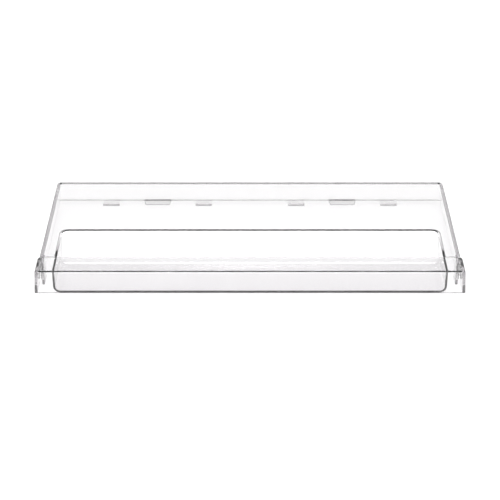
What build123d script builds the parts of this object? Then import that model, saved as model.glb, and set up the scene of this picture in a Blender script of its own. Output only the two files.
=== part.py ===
"""Clear moulded drawer-front panel, lying face up on its rim.

Millimetres, +Z up, +X across the width, -Y towards the grip edge.
The origin is under the middle of the whole object, on the surface it rests on.

The front panel is a flat plate with a back wall and two side walls that hang down from it.
The grip bar caps the panel's open front edge: a ledge, a front face and two end returns.
The grip cup is the finger scoop behind the bar, let into an opening in the plate.
Snap hooks hang from the back wall's rim, and flat locating tabs reach inwards under it.
"""
from build123d import *
import math
import os

# Overall size
overall_depth = 185.5
overall_height = 27.0
panel_width = 435.0
bar_width = 442.4

# Plate and walls: the side walls thin towards their rim, as the mould needs
plate_thickness = 2.4
side_wall_at_plate = 3.4
side_wall_at_rim = 1.8
back_wall = 3.2
outer_edge_radius = 1.5
inner_edge_radius = 0.8
back_corner_radius = 4.0
back_wall_height = 23.4

# Flange along the back wall's rim
flange_reach = 1.4
flange_thickness = 0.8

# Grip bar: its ends lean out a little towards the bottom
bar_top_width = 438.8
ledge_depth = 26.5
front_wall = 2.0
return_wall = 3.0
bar_end_radius = 2.5
bar_edge_radius = 1.0
bar_rear_radius = 6.5
bar_inner_radius = 0.3
slip_gap = 0.3

# Tongues of the side walls that run on inside the grip bar
tongue_setback = 17.0
tongue_overlap = 5.0
tongue_thickness = 2.6
tongue_gap = 1.2

# Grip cup: width of its opening, rear edge behind the front face, wall and corner rounding
opening_width = 404.0
cup_rear_setback = 81.5
cup_wall = 2.2
cup_fit_gap = 0.25
cup_plan_radius = 8.0
cup_floor_radius = 7.0
cup_rear_rim = 0.8
cup_rear_step = 0.4
rim_edge_radius = 0.35
land_length = 5.0

# Scoop profile, from the floor up to the rear edge
scoop_slope_deg = 45.0
scoop_rear_slope_deg = 15.0
scoop_floor_radius = 4.0
scoop_crest_radius = 10.0
scoop_rear_run = 5.0

# Snap hooks
hook_width = 18.6
hook_pitch = 104.7
hook_count = 4
hook_wall = 1.8
hook_reach = 5.1
hook_lip_height = 1.9
hook_root_gap = 0.1
hook_tip_taper = 0.9

# Locating tabs
tab_width = 30.0
tab_tip_width = 27.0
tab_reach = 8.0
tab_thickness = 1.2
tab_offset = 104.5

front_y = -overall_depth / 2
back_y = overall_depth / 2
ledge_rear_y = front_y + ledge_depth
plate_front_y = ledge_rear_y + slip_gap
tongue_front_y = front_y + tongue_setback
cup_front_y = front_y + front_wall + slip_gap
cup_rear_y = front_y + cup_rear_setback
plate_bottom = overall_height - plate_thickness
well_top = plate_bottom - slip_gap
back_rim_z = overall_height - back_wall_height
hook_face_y = back_y - back_wall - flange_reach
beyond = 10.0


def box_between(low, high):
    """A box from its lowest to its highest corner."""
    size = [high[i] - low[i] for i in range(3)]
    return Pos(*low) * Box(*size, align=(Align.MIN, Align.MIN, Align.MIN))


def sided_box(side, inner, outer, low, high):
    """A box between two distances from the middle plane, on one side of it; low and high hold Y and Z."""
    x_low = min(side * inner, side * outer)
    x_high = max(side * inner, side * outer)
    return box_between((x_low, *low), (x_high, *high))


def edges_where(part, test):
    """The edges whose middle passes a test."""
    return [e for e in part.edges() if test(e.center())]


def near(value, place):
    return abs(value - place) < 1e-3


def prism_along_x(corners, half_width):
    """A solid with the given outline in the YZ plane, drawn out to both sides along X."""
    outline = Polyline(*[(0, y, z) for y, z in corners], close=True)
    return extrude(make_face(outline), amount=half_width, both=True)


# Front panel

def make_front_panel():
    panel = make_panel_shell() - make_panel_hollow()
    panel += make_rim_flange()
    panel -= make_cup_opening()
    rim = edges_where(panel, is_on_plate_rim)
    panel = fillet(rim, rim_edge_radius)
    for side in (-1, 1):
        panel += make_tongue(side)
    return panel - space_below_rim()


def make_panel_shell():
    """The outside of the panel, rounded along the back corners and the top edges."""
    half = panel_width / 2
    shell = box_between((-half, plate_front_y, 0), (half, back_y, overall_height))
    corners = edges_where(shell, lambda c: near(c.Y, back_y) and near(c.Z, overall_height / 2))
    shell = fillet(corners, back_corner_radius)
    top = edges_where(shell, lambda c: near(c.Z, overall_height) and not near(c.Y, plate_front_y))
    return fillet(top, outer_edge_radius)


def make_panel_hollow():
    """The space under the plate, wider at the rim because the side walls thin downwards."""
    rim_half = panel_width / 2 - side_wall_at_rim
    plate_half = panel_width / 2 - side_wall_at_plate
    front = plate_front_y - beyond
    rear = back_y - back_wall
    outline = make_face(Polyline(
        (-rim_half, front, 0), (rim_half, front, 0),
        (plate_half, front, plate_bottom), (-plate_half, front, plate_bottom), close=True
    ))
    hollow = extrude(outline, amount=rear - front, dir=(0, 1, 0))
    corners = edges_where(hollow, lambda c: near(c.Y, rear) and near(c.Z, plate_bottom / 2))
    hollow = fillet(corners, back_corner_radius - side_wall_at_rim)
    ceiling = edges_where(hollow, lambda c: near(c.Z, plate_bottom) and c.Y > plate_front_y)
    return fillet(ceiling, inner_edge_radius)


def make_rim_flange():
    half = panel_width / 2 - side_wall_at_rim
    low = (-half, hook_face_y, back_rim_z)
    high = (half, back_y - back_wall / 2, back_rim_z + flange_thickness)
    return box_between(low, high)


def make_tongue(side):
    """A strip set in from the side wall, which runs on under the grip bar's ledge."""
    outer = bar_top_width / 2 - return_wall - tongue_gap
    inner = outer - tongue_thickness
    root_y = plate_front_y + tongue_overlap
    tongue = sided_box(side, inner, outer, (tongue_front_y, 0), (root_y, well_top))
    nose = edges_where(tongue, lambda c: near(c.Y, tongue_front_y) and near(c.Z, well_top / 2))
    tongue = fillet(nose, inner_edge_radius)
    root_outer = panel_width / 2 - side_wall_at_rim / 2
    root_low = (plate_front_y + rim_edge_radius, 0)
    root_high = (root_y, overall_height - plate_thickness / 2)
    return tongue + sided_box(side, inner, root_outer, root_low, root_high)


def make_cup_opening():
    """The hole through the plate that the grip cup sits in."""
    half = opening_width / 2
    hole = box_between(
        (-half, plate_front_y - beyond, plate_bottom - plate_thickness),
        (half, cup_rear_y + cup_fit_gap, overall_height + beyond),
    )
    corners = edges_where(hole, lambda c: near(c.Y, cup_rear_y + cup_fit_gap) and near(abs(c.X), half))
    return fillet(corners, cup_plan_radius + cup_fit_gap)


def is_on_plate_rim(place):
    """True for a place on the plate's top edge, along its front or around the cup's opening."""
    around_opening = abs(place.X) < opening_width / 2 + 1e-3 and place.Y < cup_rear_y + cup_fit_gap + 1e-3
    return near(place.Z, overall_height) and (around_opening or near(place.Y, plate_front_y))


def space_below_rim():
    """The space under the walls: their lower edge falls from the back rim to the front."""
    corners = [
        (tongue_front_y - beyond, -beyond),
        (tongue_front_y, 0),
        (hook_face_y, back_rim_z),
        (back_y + beyond, back_rim_z),
        (back_y + beyond, -beyond),
    ]
    return prism_along_x(corners, bar_width / 2)


# Grip bar

def make_grip_bar():
    """The bar's outside is where its outlines from above, from the front and from the side meet."""
    bar = bar_from_above() & bar_from_front() & bar_from_side()
    front_edges = edges_where(bar, lambda c: near(c.Y, front_y) and c.Z > front_wall)
    bar = fillet(front_edges, bar_edge_radius)
    return bar - make_bar_inside()


def bar_from_above():
    outline = Pos(0, (front_y + ledge_rear_y) / 2) * Rectangle(bar_width, ledge_depth)
    rear_corners = [v for v in outline.vertices() if near(v.Y, ledge_rear_y)]
    return extrude(fillet(rear_corners, bar_rear_radius), amount=overall_height)


def bar_end_outline(inset, low, high):
    """The bar's outline seen from the front between two heights, moved in by inset."""
    lean = (bar_width - bar_top_width) / 2 / overall_height
    low_half = bar_width / 2 - lean * low - inset
    high_half = bar_width / 2 - lean * high - inset
    return make_face(Polyline(
        (-low_half, 0, low), (low_half, 0, low), (high_half, 0, high), (-high_half, 0, high), close=True
    ))


def bar_from_front():
    outline = bar_end_outline(0, 0, overall_height)
    top_corners = [v for v in outline.vertices() if near(v.Z, overall_height)]
    return extrude(fillet(top_corners, bar_end_radius), amount=overall_depth, both=True)


def bar_from_side():
    outline = Plane.YZ * Pos((front_y + ledge_rear_y) / 2, overall_height / 2)
    outline = outline * Rectangle(ledge_depth, overall_height)
    rear_top = [v for v in outline.vertices() if near(v.Y, ledge_rear_y) and near(v.Z, overall_height)]
    return extrude(fillet(rear_top, rim_edge_radius), amount=bar_width, both=True)


def make_bar_inside():
    """The space inside the bar, open below and behind."""
    outline = Pos(0, front_y + front_wall, 0) * bar_end_outline(return_wall, -beyond, plate_bottom)
    inside = extrude(outline, amount=ledge_depth + beyond, dir=(0, 1, 0))
    inner_edges = edges_where(inside, lambda c: near(c.Z, plate_bottom) and c.Y < ledge_rear_y)
    return fillet(inner_edges, bar_inner_radius)


# Grip cup

def scoop_region(below):
    """The space above the scoop's profile, as wide as the cup.

    The profile is the cup's upper surface at 0 below, and its underside at one wall below.
    """
    slope = math.radians(scoop_slope_deg)
    rear_slope = math.radians(scoop_rear_slope_deg)
    bend_rise = scoop_floor_radius * (1 - math.cos(slope))
    crest_rise = scoop_crest_radius * (math.cos(rear_slope) - math.cos(slope))
    rear_rise = scoop_rear_run * math.tan(rear_slope)
    rise = overall_height - cup_wall - cup_rear_step
    ramp_length = (rise - bend_rise - crest_rise - rear_rise) / math.sin(slope)
    bend_run = scoop_floor_radius * math.sin(slope)
    crest_run = scoop_crest_radius * (math.sin(slope) - math.sin(rear_slope))
    floor_end_y = cup_rear_y - scoop_rear_run - crest_run - ramp_length * math.cos(slope) - bend_run
    floor_start = (cup_front_y - beyond, cup_wall - below)
    headroom = overall_height + beyond
    with BuildSketch(Plane.YZ) as sketch:
        with BuildLine():
            floor = Line(floor_start, (floor_end_y, cup_wall - below))
            bend = JernArc(floor @ 1, (1, 0), scoop_floor_radius + below, scoop_slope_deg)
            ramp = PolarLine(bend @ 1, ramp_length, angle=scoop_slope_deg)
            ramp_heading = (math.cos(slope), math.sin(slope))
            crest_turn = scoop_rear_slope_deg - scoop_slope_deg
            crest = JernArc(ramp @ 1, ramp_heading, scoop_crest_radius - below, crest_turn)
            rear_length = (cup_rear_y + beyond - (crest @ 1).X) / math.cos(rear_slope)
            rear = PolarLine(crest @ 1, rear_length, angle=scoop_rear_slope_deg)
            rear_end = rear @ 1
            Polyline(rear_end, (rear_end.X, headroom), (floor_start[0], headroom), floor_start)
        make_face()
    return extrude(sketch.sketch, amount=opening_width / 2, both=True)


def cup_envelope(inset, rear_inset):
    """The cup's outline seen from above and from the front, as a solid moved in by the insets."""
    half = opening_width / 2 - cup_fit_gap - inset
    rear = cup_rear_y - rear_inset
    body = box_between((-half, cup_front_y - beyond, inset), (half, rear, overall_height + inset))
    rear_corners = edges_where(body, lambda c: near(c.Y, rear) and near(abs(c.X), half))
    body = fillet(rear_corners, cup_plan_radius - inset)
    floor_corners = edges_where(body, lambda c: near(c.Z, inset) and near(abs(c.X), half))
    return fillet(floor_corners, cup_floor_radius - inset)


def make_grip_cup():
    cup = scoop_region(cup_wall) & cup_envelope(0, 0)
    cup -= scoop_region(0) & cup_envelope(cup_wall, cup_rear_rim)
    above = overall_height + beyond
    cup -= box_between((-bar_width, front_y - beyond, -beyond), (bar_width, cup_front_y, above))
    cup -= box_between((-bar_width, front_y - beyond, well_top), (bar_width, plate_front_y, above))
    rim = edges_where(cup, lambda c: near(c.Z, overall_height) and c.Y > plate_front_y + 1e-3)
    cup = fillet(rim, rim_edge_radius)
    for side in (-1, 1):
        for land_y in (plate_front_y + land_length, cup_rear_y - cup_plan_radius - 2 * land_length):
            cup += make_land(side, land_y)
    return cup


def make_land(side, land_y):
    """A small raised pad on the cup's rim, which bears on the edge of the plate's opening."""
    outer = opening_width / 2
    low = (land_y, plate_bottom + rim_edge_radius)
    high = (land_y + land_length, overall_height - 2 * rim_edge_radius)
    return sided_box(side, outer - cup_fit_gap - cup_wall / 2, outer, low, high)


# Snap hooks and locating tabs

def make_snap_hook(centre_x):
    """A rounded root under the rim, a neck down to the resting surface and an inward lip."""
    radius = hook_wall / 2
    root_z = back_rim_z - hook_root_gap - radius
    low_x = centre_x - hook_width / 2
    root = Pos(centre_x, hook_face_y + radius, root_z) * Rot(0, 90, 0) * Cylinder(radius, hook_width)
    neck = box_between((low_x, hook_face_y, 0), (low_x + hook_width, hook_face_y + hook_wall, root_z))
    lip_front_y = hook_face_y - hook_reach
    lip_corners = [
        (hook_face_y + radius, 0),
        (lip_front_y, 0),
        (lip_front_y, hook_lip_height - hook_tip_taper),
        (lip_front_y + hook_tip_taper, hook_lip_height),
        (hook_face_y + radius, hook_lip_height),
    ]
    lip = Pos(centre_x, 0, 0) * prism_along_x(lip_corners, hook_width / 2)
    return root + neck + lip


def make_locating_tab(centre_x):
    """A flat tongue under the rim, which narrows towards its rounded tip."""
    root_y = hook_face_y + hook_wall
    tip_y = hook_face_y - tab_reach
    root_half = tab_width / 2
    tip_half = tab_tip_width / 2
    outline = make_face(Polyline(
        (centre_x - root_half, root_y), (centre_x - root_half, hook_face_y), (centre_x - tip_half, tip_y),
        (centre_x + tip_half, tip_y), (centre_x + root_half, hook_face_y), (centre_x + root_half, root_y),
        close=True
    ))
    tongue = Pos(0, 0, back_rim_z - tab_thickness) * extrude(outline, amount=tab_thickness)
    middle_z = back_rim_z - tab_thickness / 2
    tip_corners = edges_where(tongue, lambda c: near(c.Y, tip_y) and near(c.Z, middle_z))
    tongue = fillet(tip_corners, tab_thickness)
    tip = edges_where(tongue, lambda c: near(c.Y, tip_y) and c.Z < middle_z)
    return fillet(tip, tab_thickness / 2)


def write_node(name, solid):
    solid.label = name
    export_step(solid, f"parts/{name}.step")


def main():
    os.makedirs("parts", exist_ok=True)
    write_node("front_panel", make_front_panel())
    write_node("grip_bar", make_grip_bar())
    write_node("grip_cup", make_grip_cup())
    for number in range(hook_count):
        centre_x = (number - (hook_count - 1) / 2) * hook_pitch
        write_node(f"snap_hook_{number + 1}", make_snap_hook(centre_x))
    write_node("locating_tab_left", make_locating_tab(-tab_offset))
    write_node("locating_tab_right", make_locating_tab(tab_offset))


main()
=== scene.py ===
import math

import bmesh
import bpy
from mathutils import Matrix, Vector


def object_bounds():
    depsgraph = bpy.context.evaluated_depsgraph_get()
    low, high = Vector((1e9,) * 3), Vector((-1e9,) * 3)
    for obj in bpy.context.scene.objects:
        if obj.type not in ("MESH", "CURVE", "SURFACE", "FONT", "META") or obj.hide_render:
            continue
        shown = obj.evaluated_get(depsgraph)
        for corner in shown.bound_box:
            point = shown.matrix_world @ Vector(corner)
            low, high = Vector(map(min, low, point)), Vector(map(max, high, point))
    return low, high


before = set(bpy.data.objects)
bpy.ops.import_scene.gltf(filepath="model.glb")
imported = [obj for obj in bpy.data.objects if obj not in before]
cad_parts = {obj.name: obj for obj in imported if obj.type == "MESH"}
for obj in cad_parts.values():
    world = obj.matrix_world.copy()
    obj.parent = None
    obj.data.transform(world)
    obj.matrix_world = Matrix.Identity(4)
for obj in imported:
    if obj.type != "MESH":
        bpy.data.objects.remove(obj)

cad_low, cad_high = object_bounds()

# Camera: how far it stands in front of the grip edge and above the face plate, in metres
CAMERA_AHEAD = 1.176
CAMERA_ABOVE = 0.760
CAMERA_PITCH = math.radians(32.0)
CAMERA_LENS = 99.2
SENSOR_WIDTH = 36.0

# Stage, in metres
FLOOR_RADIUS = 6.0
BACKDROP_HEIGHT = 1.6
FLOOR_GAP = 0.0002

BEND_SHARE = 0.2
BEND_STEPS = 8
RING_STEPS = 96
PAPER_GREY = 0.86
PAPER_ROUGHNESS = 0.9

# Sky: a little paler low down than overhead; heights are sines of the elevation
SKY_PALE = 0.55
SKY_DIM = 0.50
SKY_PALE_UP_TO = 0.62
SKY_DIM_FROM = 0.85

# Softboxes: place and size in metres, power in watts
SOFTBOX_TOP_PLACE = (0.0, 0.3, 3.0)
SOFTBOX_TOP_SIZE = 3.0
SOFTBOX_TOP_POWER = 101.5
SOFTBOX_FRONT_PLACE = (0.0, -1.9, 3.0)
SOFTBOX_FRONT_SIZE = 2.6
SOFTBOX_FRONT_POWER = 15.0

# Clear plastic: surface tints, and how its depth takes up light
PLASTIC_IOR = 1.57
PANEL_TINT = (0.992, 0.991, 0.992)
# The grip and cup tints are darker copies of the same clear plastic: painted shade that greys the
# zones seen through the grip ledge and the cup.
GRIP_TINT_PAINTED_SHADE = (0.988, 0.986, 0.988)
CUP_TINT_PAINTED_SHADE = (0.972, 0.969, 0.972)
DEPTH_TINT = (0.5, 0.48, 0.5)
PANEL_DENSITY = 42.0
CUP_DENSITY = 46.0

# Surface: long waves and fine grain in the bump, rubbing marks in the roughness
BUMP_HEIGHT = 0.00001
WAVE_SCALE = 14.0
GRAIN_SCALE = 900.0
GRAIN_SHARE = 0.04
MARK_STRETCH = (30.0, 220.0, 220.0)
MARK_FAINTEST = 0.35
MARK_STRONGEST = 0.75
ROUGHNESS_LOW = 0.02
ROUGHNESS_HIGH = 0.06


def link(tree, source, output, target, entry):
    tree.links.new(source.outputs[output], target.inputs[entry])


def add_node(tree, kind, **inputs):
    """A shader node with the given input values."""
    node = tree.nodes.new(kind)
    for name, value in inputs.items():
        node.inputs[name.replace("_", " ")].default_value = value
    return node


def moulding_ripple(tree):
    """The faint long waves and fine grain that a moulded clear part shows on its faces."""
    place = add_node(tree, "ShaderNodeTexCoord")
    waves = add_node(tree, "ShaderNodeTexNoise", Scale=WAVE_SCALE, Detail=2.0)
    grain = add_node(tree, "ShaderNodeTexNoise", Scale=GRAIN_SCALE, Detail=2.0)
    link(tree, place, "Object", waves, "Vector")
    link(tree, place, "Object", grain, "Vector")
    share = add_node(tree, "ShaderNodeMath")
    share.operation = "MULTIPLY_ADD"
    share.inputs[1].default_value = GRAIN_SHARE
    link(tree, grain, "Fac", share, 0)
    link(tree, waves, "Fac", share, 2)
    bump = add_node(tree, "ShaderNodeBump", Strength=1.0, Distance=BUMP_HEIGHT)
    link(tree, share, "Value", bump, "Height")
    return place, bump


def handling_marks(tree, place):
    """Roughness that varies with fine rubbing marks."""
    stretch = add_node(tree, "ShaderNodeMapping")
    stretch.inputs["Scale"].default_value = MARK_STRETCH
    link(tree, place, "Object", stretch, "Vector")
    marks = add_node(tree, "ShaderNodeTexNoise", Scale=1.0, Detail=4.0)
    link(tree, stretch, "Vector", marks, "Vector")
    spread = add_node(tree, "ShaderNodeMapRange")
    spread.inputs["From Min"].default_value = MARK_FAINTEST
    spread.inputs["From Max"].default_value = MARK_STRONGEST
    spread.inputs["To Min"].default_value = ROUGHNESS_LOW
    spread.inputs["To Max"].default_value = ROUGHNESS_HIGH
    link(tree, marks, "Fac", spread, "Value")
    return spread


def clear_plastic(name, tint, density):
    """Clear moulded plastic: refracts for the eye, and lets lamp and bounced light through unbent."""
    material = bpy.data.materials.new(name)
    material.use_nodes = True
    tree = material.node_tree
    tree.nodes.clear()
    output = add_node(tree, "ShaderNodeOutputMaterial")
    plastic = add_node(tree, "ShaderNodeBsdfPrincipled", IOR=PLASTIC_IOR)
    plastic.inputs["Base Color"].default_value = (*tint, 1.0)
    plastic.inputs["Transmission Weight"].default_value = 1.0
    place, bump = moulding_ripple(tree)
    link(tree, bump, "Normal", plastic, "Normal")
    link(tree, handling_marks(tree, place), "Result", plastic, "Roughness")
    clear = add_node(tree, "ShaderNodeBsdfTransparent")
    clear.inputs["Color"].default_value = (*tint, 1.0)
    path = add_node(tree, "ShaderNodeLightPath")
    either = add_node(tree, "ShaderNodeMath")
    either.operation = "MAXIMUM"
    mix = add_node(tree, "ShaderNodeMixShader")
    link(tree, path, "Is Shadow Ray", either, 0)
    link(tree, path, "Is Diffuse Ray", either, 1)
    link(tree, either, "Value", mix, 0)
    link(tree, plastic, "BSDF", mix, 1)
    link(tree, clear, "BSDF", mix, 2)
    link(tree, mix, "Shader", output, "Surface")
    body = add_node(tree, "ShaderNodeVolumeAbsorption", Density=density)
    body.inputs["Color"].default_value = (*DEPTH_TINT, 1.0)
    link(tree, body, "Volume", output, "Volume")
    return material


def plain_paper():
    """Matt pale paper for the stage."""
    material = bpy.data.materials.new("stage_paper")
    material.use_nodes = True
    shader = material.node_tree.nodes["Principled BSDF"]
    shader.inputs["Base Color"].default_value = (PAPER_GREY, PAPER_GREY, PAPER_GREY, 1.0)
    shader.inputs["Roughness"].default_value = PAPER_ROUGHNESS
    shader.inputs["Specular IOR Level"].default_value = 0.0
    return material


def make_stage():
    """A round pale floor that curves up into a low backdrop all round."""
    mesh = bpy.data.meshes.new("stage_sweep")
    sweep = bmesh.new()
    bend = FLOOR_RADIUS * BEND_SHARE
    flat = FLOOR_RADIUS - bend
    profile = [(flat, 0.0)]
    for i in range(1, BEND_STEPS + 1):
        angle = math.radians(90 * i / BEND_STEPS)
        profile.append((flat + bend * math.sin(angle), bend * (1 - math.cos(angle))))
    profile.append((FLOOR_RADIUS, bend + BACKDROP_HEIGHT))
    rings = []
    for radius, height in profile:
        ring = []
        for k in range(RING_STEPS):
            turn = 2 * math.pi * k / RING_STEPS
            ring.append(sweep.verts.new((radius * math.cos(turn), radius * math.sin(turn), height)))
        rings.append(ring)
    sweep.faces.new(rings[0])
    for low, high in zip(rings, rings[1:]):
        for k in range(RING_STEPS):
            j = (k + 1) % RING_STEPS
            sweep.faces.new((low[k], low[j], high[j], high[k]))
    bmesh.ops.recalc_face_normals(sweep, faces=sweep.faces)
    sweep.to_mesh(mesh)
    sweep.free()
    for face in mesh.polygons:
        face.use_smooth = True
    floor = bpy.data.objects.new("stage_sweep", mesh)
    bpy.context.scene.collection.objects.link(floor)
    floor.data.materials.append(plain_paper())
    floor.location.z = cad_low.z - FLOOR_GAP


def area_light(name, place, size, power):
    """A round softbox that points at the middle of the floor."""
    data = bpy.data.lights.new(name, "AREA")
    data.shape = "DISK"
    data.size = size
    data.energy = power
    light = bpy.data.objects.new(name, data)
    bpy.context.scene.collection.objects.link(light)
    light.location = place
    light.rotation_mode = "QUATERNION"
    light.rotation_quaternion = (-Vector(place)).to_track_quat("-Z", "Y")


def make_lights():
    area_light("softbox_top", SOFTBOX_TOP_PLACE, SOFTBOX_TOP_SIZE, SOFTBOX_TOP_POWER)
    area_light("softbox_front", SOFTBOX_FRONT_PLACE, SOFTBOX_FRONT_SIZE, SOFTBOX_FRONT_POWER)


def make_sky():
    """A studio dome that is a little paler near the floor than overhead."""
    world = bpy.data.worlds.new("studio")
    bpy.context.scene.world = world
    world.use_nodes = True
    tree = world.node_tree
    place = add_node(tree, "ShaderNodeTexCoord")
    split = add_node(tree, "ShaderNodeSeparateXYZ")
    fade = add_node(tree, "ShaderNodeMapRange")
    fade.interpolation_type = "SMOOTHSTEP"
    fade.inputs["From Min"].default_value = SKY_PALE_UP_TO
    fade.inputs["From Max"].default_value = SKY_DIM_FROM
    fade.inputs["To Min"].default_value = SKY_PALE
    fade.inputs["To Max"].default_value = SKY_DIM
    link(tree, place, "Generated", split, "Vector")
    link(tree, split, "Z", fade, "Value")
    link(tree, fade, "Result", tree.nodes["Background"], "Strength")
    tree.nodes["Background"].inputs["Color"].default_value = (1.0, 1.0, 1.0, 1.0)


def make_camera():
    """The camera looks down at the grip edge from the front, level from side to side."""
    data = bpy.data.cameras.new("camera")
    data.sensor_width = SENSOR_WIDTH
    data.lens = CAMERA_LENS
    camera = bpy.data.objects.new("camera", data)
    bpy.context.scene.collection.objects.link(camera)
    camera.location = (0.0, cad_low.y - CAMERA_AHEAD, cad_high.z + CAMERA_ABOVE)
    camera.rotation_euler = (math.pi / 2 - CAMERA_PITCH, 0.0, 0.0)
    bpy.context.scene.camera = camera


def clothe_parts():
    """Each CAD piece gets its plastic; the grip bar's and the cup's tints are darker than the
    panel's, painted shade for the greyer tone seen through them.
    """
    panel_plastic = clear_plastic("clear_panel", PANEL_TINT, PANEL_DENSITY)
    own_plastic = {
        "grip_bar": clear_plastic("clear_grip", GRIP_TINT_PAINTED_SHADE, PANEL_DENSITY),
        "grip_cup": clear_plastic("clear_cup_painted_shade", CUP_TINT_PAINTED_SHADE, CUP_DENSITY),
    }
    for name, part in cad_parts.items():
        part.data.materials.clear()
        part.data.materials.append(own_plastic.get(name, panel_plastic))


clothe_parts()
make_stage()
make_lights()
make_sky()
make_camera()
bpy.context.scene.view_settings.view_transform = "Standard"
